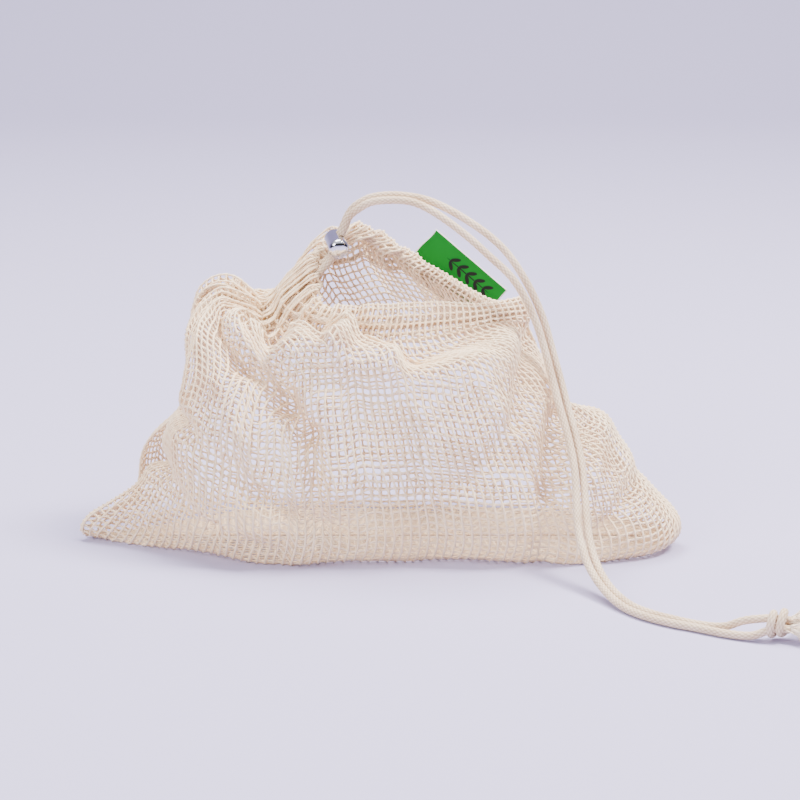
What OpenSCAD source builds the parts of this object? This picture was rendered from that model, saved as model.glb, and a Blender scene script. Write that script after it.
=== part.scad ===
// Mesh laundry bag with a drawcord, a spring cord lock and a woven label.
// Millimetres. X runs from the left ear of the bag to the right one, Y from front to back, Z up.
// The origin is on the floor, in the middle of the bag.
// The bag stands full and slumped on its floor seam, with its mouth partly drawn in.

/* [Net bag] */
// Width between the two ears, as it lies
bag_w = 238; // [200:1:280]
// Depth from front to back, as it lies
bag_d = 100; // [80:1:120]
// Height of the upper rim
bag_h = 122; // [105:1:135]
// Thickness of the net
net_t = 1.6; // [1.2:0.1:2.4]
// Width of the sewn edge along each side
seam_w = 3; // [2:0.5:4]

/* [Hem] */
// Outer half of the hem's thickness, from its middle to its face
hem_half = 2.9; // [2.5:0.1:3.2]
// Thickness of the hem's net on each face
hem_wall = 0.8; // [0.6:0.1:1]

/* [Drawcord] */
// Diameter of the braided cord
cord_d = 3; // [2.6:0.1:3.2]
// Diameter of the overhand knot
knot_d = 13; // [11:0.5:15]
// Length of each frayed end
fray_l = 17; // [10:1:25]

/* [Cord lock] */
// Outer diameter of the barrel
barrel_d = 8.4; // [8.2:0.1:9]
// Diameter of the bore that the plunger runs in
bore_d = 6.4; // [6:0.1:6.6]
// Running clearance of the plunger, on the radius
plunger_gap = 0.08; // [0.04:0.01:0.1]
// Travel of the plunger
press = 2; // [1:0.5:2]
// Wire diameter of the spring
wire_d = 0.6; // [0.4:0.1:0.7]

/* [Label] */
// Length of the woven label
label_l = 39; // [30:1:42]
// Height of the woven label
label_h = 21; // [16:1:24]
// Thickness of the woven label
label_t = 0.8; // [0.6:0.1:1]

/* [Hidden] */
$fn = 48;

cotton = [0.93, 0.88, 0.79];
cord_cotton = [0.86, 0.80, 0.71];
thread = [0.97, 0.95, 0.90];
chrome = [0.75, 0.76, 0.78];
label_green = [0.13, 0.55, 0.20];

// ---- The bag's surface -------------------------------------------------------------------
// Each column is a line of net from the floor seam up to the rim, as [x, y, z] points.
// The 16 columns run round the bag: the left seam, seven in front, the right seam, seven behind.
drawn_w = 238;
drawn_d = 100;
drawn_h = 122;
columns = [
    [[-118, -3, 1.5], [-119.5, -4, 5], [-116, -4, 9.5], [-107, -2, 14.5], [-98, 0, 22.5], [-92, 2, 34],
     [-83, 3, 47], [-77, 4, 66], [-75, 6, 87], [-63, 9, 99], [-46, 12, 91], [-26, 14, 110]],
    [[-103, -1.5, 0], [-103, -7, 0], [-101, -11, 2.5], [-97, -14, 12], [-91, -15, 25], [-85, -15, 39],
     [-79, -13, 54], [-76, -10, 70], [-73, -6, 88], [-63, -1, 97], [-47, 4, 88], [-25, 8, 105]],
    [[-70, -1.5, 0], [-69, -17, 0], [-67, -32, 2], [-68, -39, 14], [-70, -39, 29], [-73, -35, 44],
     [-75, -28, 59], [-73, -22, 76], [-66, -15, 90], [-56, -9, 93], [-43, -2, 87], [-25, 2, 100]],
    [[-40, -1.5, 0], [-40, -24, 0], [-40, -44, 2], [-41, -50, 14], [-42, -50, 29], [-44, -47, 45],
        [-46, -41, 61], [-46, -33, 75], [-43, -24, 85], [-38, -15, 87], [-32, -8, 89], [-24, -4, 97]],
    [[-10, -1.5, 0], [-10, -22, 0], [-10, -41, 2], [-11, -49, 14], [-12, -50, 30], [-12, -50, 48],
        [-12, -47, 64], [-13, -41, 77], [-16, -31, 82], [-18, -21, 83], [-19, -13, 87], [-18, -8, 96]],
    [[20, -1.5, 0], [20, -20, 0], [20, -38, 2], [20, -46, 14], [20, -49, 31], [20, -49, 49],
        [20, -48, 64], [19, -43, 77], [14, -34, 76], [9, -25, 76], [4, -16, 84], [0, -10, 97]],
    [[50, -1.5, 0], [50, -24, 0], [50, -43, 2], [51, -49, 14], [51, -48, 31], [50, -45, 49],
        [48, -40, 66], [43, -36, 82], [36, -29, 83], [29, -22, 81], [25, -14, 86], [22, -10, 98]],
    [[96, -1.5, 0], [102, -20, 0], [105, -33, 2], [102, -37, 13], [94, -35, 27], [83, -28, 42],
     [72, -21, 57], [63, -20, 73], [56, -19, 84], [50, -15, 88], [45, -10, 90], [41, -7, 97]],
    [[116, -6, 1.5], [119, -10, 5], [118, -11, 11], [112, -8, 19], [104, -5, 29], [96, -2, 40],
     [87, 0, 52], [72, 1, 57], [68, 2, 67], [64, 4, 78], [60, 5, 88], [58, 6, 97]],
    [[96, 1.5, 0], [97, 16, 0], [96, 30, 2], [92, 35, 14], [85, 35, 28], [77, 32, 41],
     [71, 29, 52], [65, 27, 61], [60, 26, 69], [56, 26, 77], [51, 26, 84], [47, 25, 92]],
    [[50, 1.5, 0], [50, 24, 0], [50, 43, 2], [51, 49, 14], [51, 48, 31], [50, 44, 48],
        [48, 41, 61], [44, 38, 71], [40, 36, 79], [36, 34, 86], [32, 32, 94], [29, 30, 101]],
    [[20, 1.5, 0], [20, 25, 0], [20, 44, 2], [20, 49, 14], [20, 50, 31], [20, 48, 49],
        [20, 45, 65], [19, 41, 78], [17, 37, 89], [15, 33, 99], [12, 31, 106], [10, 30, 113]],
    [[-10, 1.5, 0], [-10, 25, 0], [-10, 44, 2], [-11, 49, 14], [-12, 50, 31], [-12, 49, 49],
        [-12, 46, 66], [-12, 42, 81], [-11, 38, 94], [-9, 34, 105], [-7, 31, 114], [-5, 29, 122]],
    [[-40, 1.5, 0], [-40, 25, 0], [-40, 44, 2], [-41, 49, 14], [-42, 50, 30], [-42, 47, 47],
        [-41, 43, 63], [-38, 39, 79], [-33, 36, 92], [-27, 34, 102], [-21, 32, 112], [-15, 30, 121]],
    [[-70, 1.5, 0], [-69, 18, 0], [-67, 33, 2], [-68, 40, 14], [-70, 40, 29], [-70, 38, 45],
     [-69, 35, 61], [-64, 32, 77], [-56, 30, 90], [-46, 28, 95], [-35, 27, 101], [-21, 26, 116]],
    [[-102, 1.5, 0], [-101, 6, 0], [-99, 11, 2], [-95, 14, 12], [-89, 15, 26], [-84, 16, 40],
     [-79, 16, 54], [-75, 16, 70], [-71, 17, 86], [-60, 19, 96], [-46, 19, 93], [-25, 19, 112]],
];
n_col = len(columns);
n_row = len(columns[0]);
right_seam = 8;
rim = n_row - 1;
hem_low = rim - 1;
hem_mid = rim - 0.52;
// Mean distance between the columns beside a side seam
column_w = 16;
seam_turn = seam_w / 2 / column_w;
// Clearance between a sewn edge and the panels, in columns
seam_gap = 0.02;
stretch = [bag_w / drawn_w, bag_d / drawn_d, bag_h / drawn_h];

// A smooth curve through b and c, with a and d as the points beside them
function through(a, b, c, d, t) =
    0.5 * (2 * b + (c - a) * t + (2 * a - 5 * b + 4 * c - d) * t * t
        + (3 * b - a - 3 * c + d) * t * t * t);
// The point at v rows up a column
function up_column(c, v) =
    let (k = min(floor(max(v, 0)), n_row - 2), t = v - k,
        low = k == 0 ? 2 * c[0] - c[1] : c[k - 1],
        high = k == n_row - 2 ? 2 * c[k + 1] - c[k] : c[k + 2])
    through(low, c[k], c[k + 1], high, t);
// The surface's point at u columns round and v rows up, before it is held off the floor
function free_net(u, v) =
    let (k = floor(u), t = u - k)
    through(up_column(columns[(k + n_col - 1) % n_col], v), up_column(columns[(k + n_col) % n_col], v),
        up_column(columns[(k + 1) % n_col], v), up_column(columns[(k + 2) % n_col], v), t);
function scaled(p) = [p[0] * stretch[0], p[1] * stretch[1], p[2] * stretch[2]];
function on_floor(p) = [p[0], p[1], max(p[2], 0)];
function unit(p) = p / norm(p);
// The outward direction: across the run round the bag and the run up it
function outward(u, v) =
    let (e = 0.12, low = max(v - e, 0), high = min(v + e, rim))
    unit(cross(scaled(free_net(u + e, v) - free_net(u - e, v)),
        scaled(free_net(u, high) - free_net(u, low))));
// The surface moved outwards by a distance
function net(u, v, off = 0) = on_floor(scaled(free_net(u, v)) + off * outward(u, v));

// The share of its thickness that the net keeps beside a side seam, where the two panels meet
function thinning(u) = let (d = u % right_seam) min(1, 0.35 + 1.3 * min(d, right_seam - d));
// A closed sheet of the bag's surface between two turns and two heights, from its inner face to its
// outer face, both measured outwards from the surface
module sheet(u0, u1, nu, v0, v1, nv, inner, outer) {
    w = nu + 1;
    one = w * (nv + 1);
    points = [for (inside = [0, 1]) for (j = [0:nv]) for (i = [0:nu]) let (u = u0 + (u1 - u0) * i / nu)
        net(u, v0 + (v1 - v0) * j / nv, inside == 1 ? inner * thinning(u) : outer)];
    out = [for (j = [0:nv - 1]) for (i = [0:nu - 1]) let (a = j * w + i)
        each [[a, a + w, a + w + 1], [a, a + w + 1, a + 1]]];
    in = [for (f = out) [f[0] + one, f[2] + one, f[1] + one]];
    low = [for (i = [0:nu - 1]) each [[i, i + 1, i + 1 + one], [i, i + 1 + one, i + one]]];
    high = [for (i = [0:nu - 1]) let (a = nv * w + i)
        each [[a, a + one, a + 1 + one], [a, a + 1 + one, a + 1]]];
    left = [for (j = [0:nv - 1]) let (a = j * w) each [[a, a + one, a + w + one], [a, a + w + one, a + w]]];
    right = [for (j = [0:nv - 1]) let (a = j * w + nu)
        each [[a, a + w, a + w + one], [a, a + w + one, a + one]]];
    polyhedron(points, concat(out, in, low, high, left, right), convexity = 10);
}

module front_panel() {
    color(cotton) sheet(seam_turn, right_seam - seam_turn, 32, 0, hem_low, 22, -net_t, 0);
}

module back_panel() {
    color(cotton) sheet(right_seam + seam_turn, n_col - seam_turn, 32, 0, hem_low, 22, -net_t, 0);
}

// A flat strip on the floor that closes the two panels at the bottom
module bottom_seam() {
    left = -98 * stretch[0];
    right = 88 * stretch[0];
    point = 8 * stretch[0];
    half = 0.8 * stretch[1];
    color(cotton) linear_extrude(net_t)
        polygon([[left, 0], [left + point, -half], [right - point, -half], [right, 0], [right - point, half],
            [left + point, half]]);
}

// The sewn edges stand a little proud of the net, inside and out
seam_proud = 0.5;
module side_seam(u) {
    half = seam_turn - seam_gap;
    sheet(u - half, u + half, 2, 0.3, hem_low - 0.04, 24, -net_t - seam_proud, seam_proud);
}

module side_seam_left() {
    color(cotton) side_seam(n_col);
}

module side_seam_right() {
    color(cotton) side_seam(right_seam);
}

// A profile of [rows up, distance outwards] points carried round the bag, closed at both ends
module band(u0, u1, nu, profile) {
    n = len(profile);
    points = [for (i = [0:nu]) for (p = profile) net(u0 + (u1 - u0) * i / nu, p[0], p[1])];
    walls = [for (i = [0:nu - 1]) for (k = [0:n - 1]) let (a = i * n + k, b = i * n + (k + 1) % n)
        each [[a, a + n, b + n], [a, b + n, b]]];
    first = [for (k = [0:n - 1]) k];
    last = [for (k = [n - 1:-1:0]) nu * n + k];
    polyhedron(points, concat(walls, [first, last]), convexity = 10);
}

// The hem is a folded channel: two walls of net, closed at the rim, with the cord between them.
// It starts and ends a column from the left seam, where the cord comes out.
hem_gap = 1;
hem_middle = -net_t / 2;
hollow = hem_half - hem_wall;
wall_rows = [hem_low, hem_low + 0.3, hem_low + 0.6, rim - 0.12];
face_rows = [hem_low, hem_low + 0.3, hem_low + 0.6, rim - 0.06];
fold = concat(
    [for (k = [0:3]) [wall_rows[k], hem_middle + hollow]],
    [for (k = [3:-1:0]) [wall_rows[k], hem_middle - hollow]],
    [for (k = [0:3]) [face_rows[k], hem_middle - hem_half]],
    [[rim, hem_middle - hollow / 2], [rim, hem_middle + hollow / 2]],
    [for (k = [3:-1:0]) [face_rows[k], hem_middle + hem_half]]);

module hem_front() {
    color(cotton) band(hem_gap, right_seam, 30, fold);
}

module hem_back() {
    color(cotton) band(right_seam, n_col - hem_gap, 30, fold);
}

// The line of stitches that closes the channel under the cord
module hem_stitching() {
    reach = hollow - 0.5;
    low = hem_low + 0.04;
    high = hem_low + 0.08;
    line = [[low, hem_middle - reach], [high, hem_middle - reach], [high, hem_middle + reach],
        [low, hem_middle + reach]];
    color(thread) band(hem_gap, n_col - hem_gap, 60, line);
}

// ---- The label ---------------------------------------------------------------------------
// It is sewn along its lower long edge to the outside of the back hem
label_at = [24, 37.5, 91];
label_turn = [0, 41, 4];
// Clearance under the label's edge, for its turn
stitch_gap = 0.55;
stitch_t = 0.8;

module on_label() {
    translate(label_at) rotate(label_turn) children();
}

module label() {
    color(label_green) on_label() translate([-label_l / 2, -label_t / 2, 0]) cube([label_l, label_t, label_h]);
}

module label_stitching() {
    stitch = 2.2;
    count = 12;
    color(thread) on_label() for (i = [0:count - 1])
        translate([-label_l / 2 + (i + 0.5) * label_l / count - stitch / 2, -label_t / 2, -stitch_gap - stitch_t])
            cube([stitch, label_t, stitch_t]);
}

// ---- The cord lock -----------------------------------------------------------------------
// In the lock's own frame the cord runs along Z and the barrel along Y, with its domed end at -Y
lock_at = [-17, 14, 118];
lock_turn = [10, 22, 13];
lock_low = -8.3;
lock_high = 5.4;
button_out = 3;
slot_w = cord_d + 0.4;
slot_half = cord_d + 0.1;
end_wall = 1;

module on_lock() {
    translate(lock_at) rotate(lock_turn) children();
}

// A point of the lock's own frame, in the bag's
function turned(p, a) =
    let (x = [p[0], p[1] * cos(a[0]) - p[2] * sin(a[0]), p[1] * sin(a[0]) + p[2] * cos(a[0])],
        y = [x[0] * cos(a[1]) + x[2] * sin(a[1]), x[1], -x[0] * sin(a[1]) + x[2] * cos(a[1])])
    [y[0] * cos(a[2]) - y[1] * sin(a[2]), y[0] * sin(a[2]) + y[1] * cos(a[2]), y[2]];
function at_lock(p) = lock_at + turned(p, lock_turn);

// A turned solid along the barrel's axis, from [radius, distance along +Y] points
module lathe(outline) {
    rotate([-90, 0, 0]) rotate_extrude() polygon(outline);
}

// The hole for the two strands, side by side, between two distances along the barrel
module cord_slot(from, to) {
    r = slot_w / 2;
    for (y = [from + r, to - r]) translate([0, y, -barrel_d]) cylinder(r = r, h = 2 * barrel_d);
    translate([-r, from + r, -barrel_d]) cube([slot_w, to - from - 2 * r, 2 * barrel_d]);
}

module lock_barrel() {
    r = barrel_d / 2;
    dome = [for (a = [0:15:90]) [r - 1.6 + 1.6 * sin(a), lock_low + 1.6 - 1.6 * cos(a)]];
    color(chrome) on_lock() difference() {
        lathe(concat([[0, lock_low]], dome, [[r, lock_high - 0.5], [r - 0.5, lock_high], [0, lock_high]]));
        lathe([[0, lock_low + end_wall], [bore_d / 2, lock_low + end_wall], [bore_d / 2, lock_high + 1],
            [0, lock_high + 1]]);
        cord_slot(-slot_half, slot_half);
    }
}

module lock_plunger() {
    r = bore_d / 2 - plunger_gap;
    inner = -slot_half - end_wall;
    tip = lock_high + button_out;
    edge = [for (a = [0:15:90]) [r - 1 + cos(a), tip - 1 + sin(a)]];
    color(chrome) on_lock() difference() {
        lathe(concat([[0, inner], [r, inner]], edge, [[0, tip]]));
        cord_slot(-slot_half, slot_half + press);
    }
}

// The spring stands between the barrel's closed end and the plunger
module lock_spring() {
    coil_r = bore_d / 2 - wire_d / 2 - 0.4;
    from = lock_low + end_wall + wire_d / 2 + 0.02;
    to = -slot_half - end_wall - wire_d / 2 - 0.02;
    turns = 2;
    steps = 32;
    path = [for (i = [0:steps]) let (t = i / steps)
        [coil_r * cos(360 * turns * t), from + (to - from) * t, coil_r * sin(360 * turns * t)]];
    color(chrome) on_lock() tube(path, wire_d, 6);
}

// ---- Cords -------------------------------------------------------------------------------
// A tube of a diameter along a path. Each ring stands square to the path, and its first side is
// taken from the upright, or from X where the path is upright.
function along(path, i) = unit(path[min(i + 1, len(path) - 1)] - path[max(i - 1, 0)]);
function beside(d) = unit(cross(abs(d[2]) > 0.98 ? [0, 1, 0] : [0, 0, 1], d));
module tube(path, d, sides = 8) {
    n = len(path);
    points = [for (i = [0:n - 1]) let (t = along(path, i), s = beside(t), u = cross(t, s))
        for (k = [0:sides - 1]) let (a = 360 * k / sides)
        path[i] + d / 2 * (cos(a) * s + sin(a) * u)];
    walls = [for (i = [0:n - 2]) for (k = [0:sides - 1])
        let (a = i * sides + k, b = i * sides + (k + 1) % sides)
        each [[a, a + sides, b + sides], [a, b + sides, b]]];
    first = [for (k = [0:sides - 1]) k];
    last = [for (k = [sides - 1:-1:0]) (n - 1) * sides + k];
    polyhedron(points, concat(walls, [first, last]), convexity = 10);
}

// Where each strand crosses the lock, and the straight stretch beyond it that the lock runs on
strand_half = cord_d / 2;
lock_face = 4.5;
function strand_at(side, z) = at_lock([0, side * strand_half, z]);

// The two free strands, from the lock to the knot
route_a = concat([for (z = [lock_face, 8.5, 12.5]) strand_at(-1, z)], [
    [-8.5, 9.6, 132.3], [-3, 7.5, 135.6], [5, 4.3, 137], [13, 0, 137], [20, -3, 134.5], [28, -5, 129.5],
    [36, -7, 123.5], [44, -9, 116.5], [52, -10, 109], [58, -11.5, 100], [62, -13.5, 91],
    [65, -16, 82], [68, -21, 71], [71, -28, 60], [74, -36, 50], [76, -45, 40], [76.5, -54, 29],
    [77, -64, 19], [80, -76, 10], [85, -90, 4.5], [91, -104, 2.1], [98, -115, 1.7], [107, -124, 1.7],
    [117, -131, 1.7], [127, -138, 1.7], [135, -142, 2.2], [140, -143, 4]]);
route_b = concat([for (z = [lock_face, 8.5, 12.5]) strand_at(1, z)], [
    [-9, 13, 133.6], [-3, 10.9, 137], [5, 7.6, 138.5], [13, 3.6, 138.5], [20, 0.8, 137.3],
    [28, -1.4, 134], [36, -3.4, 129.5], [44, -5.4, 124], [50.8, -6.9, 117.5], [56.6, -8.3, 109.2],
    [61.6, -9.5, 100], [65.6, -11.4, 90], [68.5, -14, 80], [71.5, -18.5, 69.5], [74.5, -25.5, 58.5],
    [77.3, -34, 48.5], [79.2, -43.4, 38.7], [80, -52.7, 28.7], [80.7, -62.7, 18.7],
    [83, -73.3, 10.5], [87.3, -87.3, 5], [93.5, -101, 2.2], [100.7, -112, 1.8], [109.3, -120.4, 1.8],
    [118.5, -127.3, 1.8], [126.5, -132.3, 2.8], [133, -136.5, 6.2], [140, -139, 7.8]]);

module cord_strand_a() {
    color(cord_cotton) tube(route_a, cord_d);
}

module cord_strand_b() {
    color(cord_cotton) tube(route_b, cord_d);
}

// The stretch inside the hem, with its two ends up through the lock
module drawcord_loop() {
    channel = [for (u = [0.5:0.25:15.5]) net(u, hem_mid, hem_middle)];
    color(cord_cotton) tube(concat(
        [strand_at(-1, lock_face), strand_at(-1, 0), strand_at(-1, -lock_face), strand_at(-1, -8)],
        channel,
        [strand_at(1, -8), strand_at(1, -lock_face), strand_at(1, 0), strand_at(1, lock_face)]), cord_d);
}

// ---- The knot and the frayed ends --------------------------------------------------------
knot_at = [146, -141, 6.7];
module ring(big, thick) {
    rotate_extrude() translate([big, 0]) circle(d = thick);
}

module knot() {
    wrap = knot_d / 2 - cord_d / 2;
    color(cord_cotton) translate(knot_at) rotate([0, 0, -14]) {
        sphere(d = knot_d - 3);
        translate([-2.2, 0, 0]) rotate([0, 78, 0]) ring(wrap - 0.4, cord_d);
        translate([1.4, 0, 0]) rotate([0, 100, 12]) ring(wrap - 0.4, cord_d);
    }
}

module frayed_end(at, turn) {
    color(thread) translate(at) rotate(turn) cylinder(d1 = cord_d - 0.6, d2 = 2 * cord_d, h = fray_l);
}

module frayed_end_a() {
    frayed_end([150.5, -144.5, 4.6], [0, 90, -38]);
}

module frayed_end_b() {
    frayed_end([151.5, -141, 7.4], [0, 86, 10]);
}

front_panel();
back_panel();
bottom_seam();
side_seam_left();
side_seam_right();
hem_front();
hem_back();
hem_stitching();
label();
label_stitching();
drawcord_loop();
cord_strand_a();
cord_strand_b();
knot();
frayed_end_a();
frayed_end_b();
lock_barrel();
lock_plunger();
lock_spring();
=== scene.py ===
"""A mesh laundry bag of cotton net, full and slumped on its floor seam, with a braided drawcord, a chrome
cord lock and a woven label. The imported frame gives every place; the pieces here are the looks over it."""

import bmesh
import bpy
import numpy as np
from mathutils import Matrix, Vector


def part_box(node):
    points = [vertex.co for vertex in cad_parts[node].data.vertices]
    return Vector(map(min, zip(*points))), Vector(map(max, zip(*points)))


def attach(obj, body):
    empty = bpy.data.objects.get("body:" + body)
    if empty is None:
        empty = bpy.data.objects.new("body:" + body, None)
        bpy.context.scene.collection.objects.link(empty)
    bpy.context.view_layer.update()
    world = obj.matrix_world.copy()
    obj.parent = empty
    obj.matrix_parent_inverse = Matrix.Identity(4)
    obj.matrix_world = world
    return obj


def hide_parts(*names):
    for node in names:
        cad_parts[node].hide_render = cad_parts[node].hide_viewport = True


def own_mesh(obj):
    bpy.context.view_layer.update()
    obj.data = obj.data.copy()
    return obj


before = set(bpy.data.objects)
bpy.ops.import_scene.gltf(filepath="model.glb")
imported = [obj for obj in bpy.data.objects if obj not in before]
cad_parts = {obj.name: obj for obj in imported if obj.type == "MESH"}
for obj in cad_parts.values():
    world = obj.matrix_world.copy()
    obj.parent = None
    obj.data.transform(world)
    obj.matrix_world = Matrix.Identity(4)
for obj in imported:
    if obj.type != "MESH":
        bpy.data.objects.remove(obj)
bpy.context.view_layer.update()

bl_info = {
    "name": "Mesh Laundry Bag",
    "version": (1, 0, 0),
    "blender": (4, 5, 0),
    "location": "View3D > Sidebar > Laundry Bag",
    "description": "Builds a cotton net laundry bag with its cords, cord lock and label over a packed frame",
    "category": "Object",
}

MM = 0.001

# ---- The bag's surface --------------------------------------------------------------------------
# Each column is a line of net from the floor seam up to the rim, in millimetres. The 16 columns run
# round the bag: the left seam, seven in front, the right seam, seven behind.
COLUMNS = np.array([
    [[-118, -3, 1.5], [-119.5, -4, 5], [-116, -4, 9.5], [-107, -2, 14.5], [-98, 0, 22.5], [-92, 2, 34],
     [-83, 3, 47], [-77, 4, 66], [-75, 6, 87], [-63, 9, 99], [-46, 12, 91], [-26, 14, 110]],
    [[-103, -1.5, 0], [-103, -7, 0], [-101, -11, 2.5], [-97, -14, 12], [-91, -15, 25], [-85, -15, 39],
     [-79, -13, 54], [-76, -10, 70], [-73, -6, 88], [-63, -1, 97], [-47, 4, 88], [-25, 8, 105]],
    [[-70, -1.5, 0], [-69, -17, 0], [-67, -32, 2], [-68, -39, 14], [-70, -39, 29], [-73, -35, 44],
     [-75, -28, 59], [-73, -22, 76], [-66, -15, 90], [-56, -9, 93], [-43, -2, 87], [-25, 2, 100]],
    [[-40, -1.5, 0], [-40, -24, 0], [-40, -44, 2], [-41, -50, 14], [-42, -50, 29], [-44, -47, 45],
     [-46, -41, 61], [-46, -33, 75], [-43, -24, 85], [-38, -15, 87], [-32, -8, 89], [-24, -4, 97]],
    [[-10, -1.5, 0], [-10, -22, 0], [-10, -41, 2], [-11, -49, 14], [-12, -50, 30], [-12, -50, 48],
     [-12, -47, 64], [-13, -41, 77], [-16, -31, 82], [-18, -21, 83], [-19, -13, 87], [-18, -8, 96]],
    [[20, -1.5, 0], [20, -20, 0], [20, -38, 2], [20, -46, 14], [20, -49, 31], [20, -49, 49],
     [20, -48, 64], [19, -43, 77], [14, -34, 76], [9, -25, 76], [4, -16, 84], [0, -10, 97]],
    [[50, -1.5, 0], [50, -24, 0], [50, -43, 2], [51, -49, 14], [51, -48, 31], [50, -45, 49],
     [48, -40, 66], [43, -36, 82], [36, -29, 83], [29, -22, 81], [25, -14, 86], [22, -10, 98]],
    [[96, -1.5, 0], [102, -20, 0], [105, -33, 2], [102, -37, 13], [94, -35, 27], [83, -28, 42],
     [72, -21, 57], [63, -20, 73], [56, -19, 84], [50, -15, 88], [45, -10, 90], [41, -7, 97]],
    [[116, -6, 1.5], [119, -10, 5], [118, -11, 11], [112, -8, 19], [104, -5, 29], [96, -2, 40],
     [87, 0, 52], [72, 1, 57], [68, 2, 67], [64, 4, 78], [60, 5, 88], [58, 6, 97]],
    [[96, 1.5, 0], [97, 16, 0], [96, 30, 2], [92, 35, 14], [85, 35, 28], [77, 32, 41],
     [71, 29, 52], [65, 27, 61], [60, 26, 69], [56, 26, 77], [51, 26, 84], [47, 25, 92]],
    [[50, 1.5, 0], [50, 24, 0], [50, 43, 2], [51, 49, 14], [51, 48, 31], [50, 44, 48],
     [48, 41, 61], [44, 38, 71], [40, 36, 79], [36, 34, 86], [32, 32, 94], [29, 30, 101]],
    [[20, 1.5, 0], [20, 25, 0], [20, 44, 2], [20, 49, 14], [20, 50, 31], [20, 48, 49],
     [20, 45, 65], [19, 41, 78], [17, 37, 89], [15, 33, 99], [12, 31, 106], [10, 30, 113]],
    [[-10, 1.5, 0], [-10, 25, 0], [-10, 44, 2], [-11, 49, 14], [-12, 50, 31], [-12, 49, 49],
     [-12, 46, 66], [-12, 42, 81], [-11, 38, 94], [-9, 34, 105], [-7, 31, 114], [-5, 29, 122]],
    [[-40, 1.5, 0], [-40, 25, 0], [-40, 44, 2], [-41, 49, 14], [-42, 50, 30], [-42, 47, 47],
     [-41, 43, 63], [-38, 39, 79], [-33, 36, 92], [-27, 34, 102], [-21, 32, 112], [-15, 30, 121]],
    [[-70, 1.5, 0], [-69, 18, 0], [-67, 33, 2], [-68, 40, 14], [-70, 40, 29], [-70, 38, 45],
     [-69, 35, 61], [-64, 32, 77], [-56, 30, 90], [-46, 28, 95], [-35, 27, 101], [-21, 26, 116]],
    [[-102, 1.5, 0], [-101, 6, 0], [-99, 11, 2], [-95, 14, 12], [-89, 15, 26], [-84, 16, 40],
     [-79, 16, 54], [-75, 16, 70], [-71, 17, 86], [-60, 19, 96], [-46, 19, 93], [-25, 19, 112]],
])
N_COL, N_ROW = COLUMNS.shape[:2]
HALF_ROUND = N_COL // 2
RIM = N_ROW - 1
HEM_LOW = RIM - 1.0
HEM_MID = RIM - 0.52

# Folds pressed into the front of the net: the two ends (x, z) of each fold, its height outwards and
# its half width, in millimetres. A negative height is a valley.
FRONT_FOLDS = np.array([
    [-63, 92, -54, 79, -7, 4], [-54, 79, -38, 71, -6, 4], [-42, 88, -38, 66, -8, 5],
    [-38, 66, -27, 54, -9, 5], [-27, 54, -24, 34, -6, 5], [-40, 84, -16, 81, 6, 4],
    [-16, 81, 5, 78, 6, 4], [-36, 91, -8, 87, -4, 3.5], [-78, 54, -48, 30, -5, 4],
    [-48, 30, -14, 16, -4, 4], [-70, 48, -40, 22, 3, 4], [-91, 36, -66, 14, -5, 4],
    [-66, 14, -40, 6, -3, 4], [-84, 30, -58, 10, 3, 4], [71, 55, 66, 30, -5, 4.5],
    [66, 30, 64, 6, -4, 5], [60, 84, 54, 58, -3, 4], [54, 58, 36, 36, -2.5, 5],
    [86, 46, 78, 22, 3, 5], [100, 28, 84, 10, -3, 3.5], [18, 62, 22, 30, 2, 5],
    [-20, 66, -18, 32, 2.5, 4], [40, 74, 56, 50, 2, 4], [-60, 70, -52, 50, 3, 6],
], float)


def spline_weights(places, count, closed):
    """Rows of weights on count control points for a smooth curve through them, one row for each place.
    Between points b and c the weights of a, b, c and d are the cubic ones that pass through b and c with
    a slope of half the step from a to c. Past the ends of an open curve the points go on in a line."""
    k = np.floor(places).astype(int)
    k = k if closed else np.clip(k, 0, count - 2)
    t = places - k
    near = 0.5 * np.stack([
        -t + 2 * t**2 - t**3, 2 - 5 * t**2 + 3 * t**3, t + 4 * t**2 - 3 * t**3, t**3 - t**2], 1)
    weights = np.zeros((len(places), count + 2))
    for step in range(4):
        at = (k - 1 + step) % count if closed else k + step
        np.add.at(weights, (np.arange(len(places)), at), near[:, step])
    if closed:
        return weights[:, :count]
    inner = weights[:, 1:-1].copy()
    inner[:, 0] += 2 * weights[:, 0]
    inner[:, 1] -= weights[:, 0]
    inner[:, -1] += 2 * weights[:, -1]
    inner[:, -2] -= weights[:, -1]
    return inner


def unit(vectors):
    return vectors / np.maximum(np.linalg.norm(vectors, axis=-1, keepdims=True), 1e-9)


def drawn(u, v):
    """The surface as the columns draw it at u columns round and v rows up: the smooth curves up the four
    columns beside u, joined by a smooth curve round."""
    shape = np.broadcast(u, v).shape
    u, v = (np.broadcast_to(x, shape).ravel().astype(float) for x in (u, v))
    round_, up = spline_weights(u, N_COL, True), spline_weights(v, N_ROW, False)
    return np.einsum("na,nb,abk->nk", round_, up, COLUMNS, optimize=True).reshape(*shape, 3)


def bag_scale():
    """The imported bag's size over the drawn one, on X, Y and Z, to the nearest hundredth."""
    front, back = np.array(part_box("front_panel")), np.array(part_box("back_panel"))
    packed = (np.maximum(front[1], back[1]) - np.minimum(front[0], back[0])) / MM
    points = drawn(np.linspace(0, N_COL, 129)[:, None], np.linspace(0, HEM_LOW, 45)[None])
    return np.round(packed / np.ptp(points.reshape(-1, 3), axis=0), 2)


SCALE = bag_scale()


def surface(u, v):
    """The bag's surface at u columns round and v rows up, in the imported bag's millimetres."""
    return drawn(u, v) * SCALE


def outward(u, v):
    """The direction out of the bag: the run round the bag crossed with the run up it."""
    step = 0.12
    up = surface(u, np.minimum(v + step, RIM)) - surface(u, np.maximum(v - step, 0))
    return unit(np.cross(surface(u + step, v) - surface(u - step, v), up))


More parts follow.
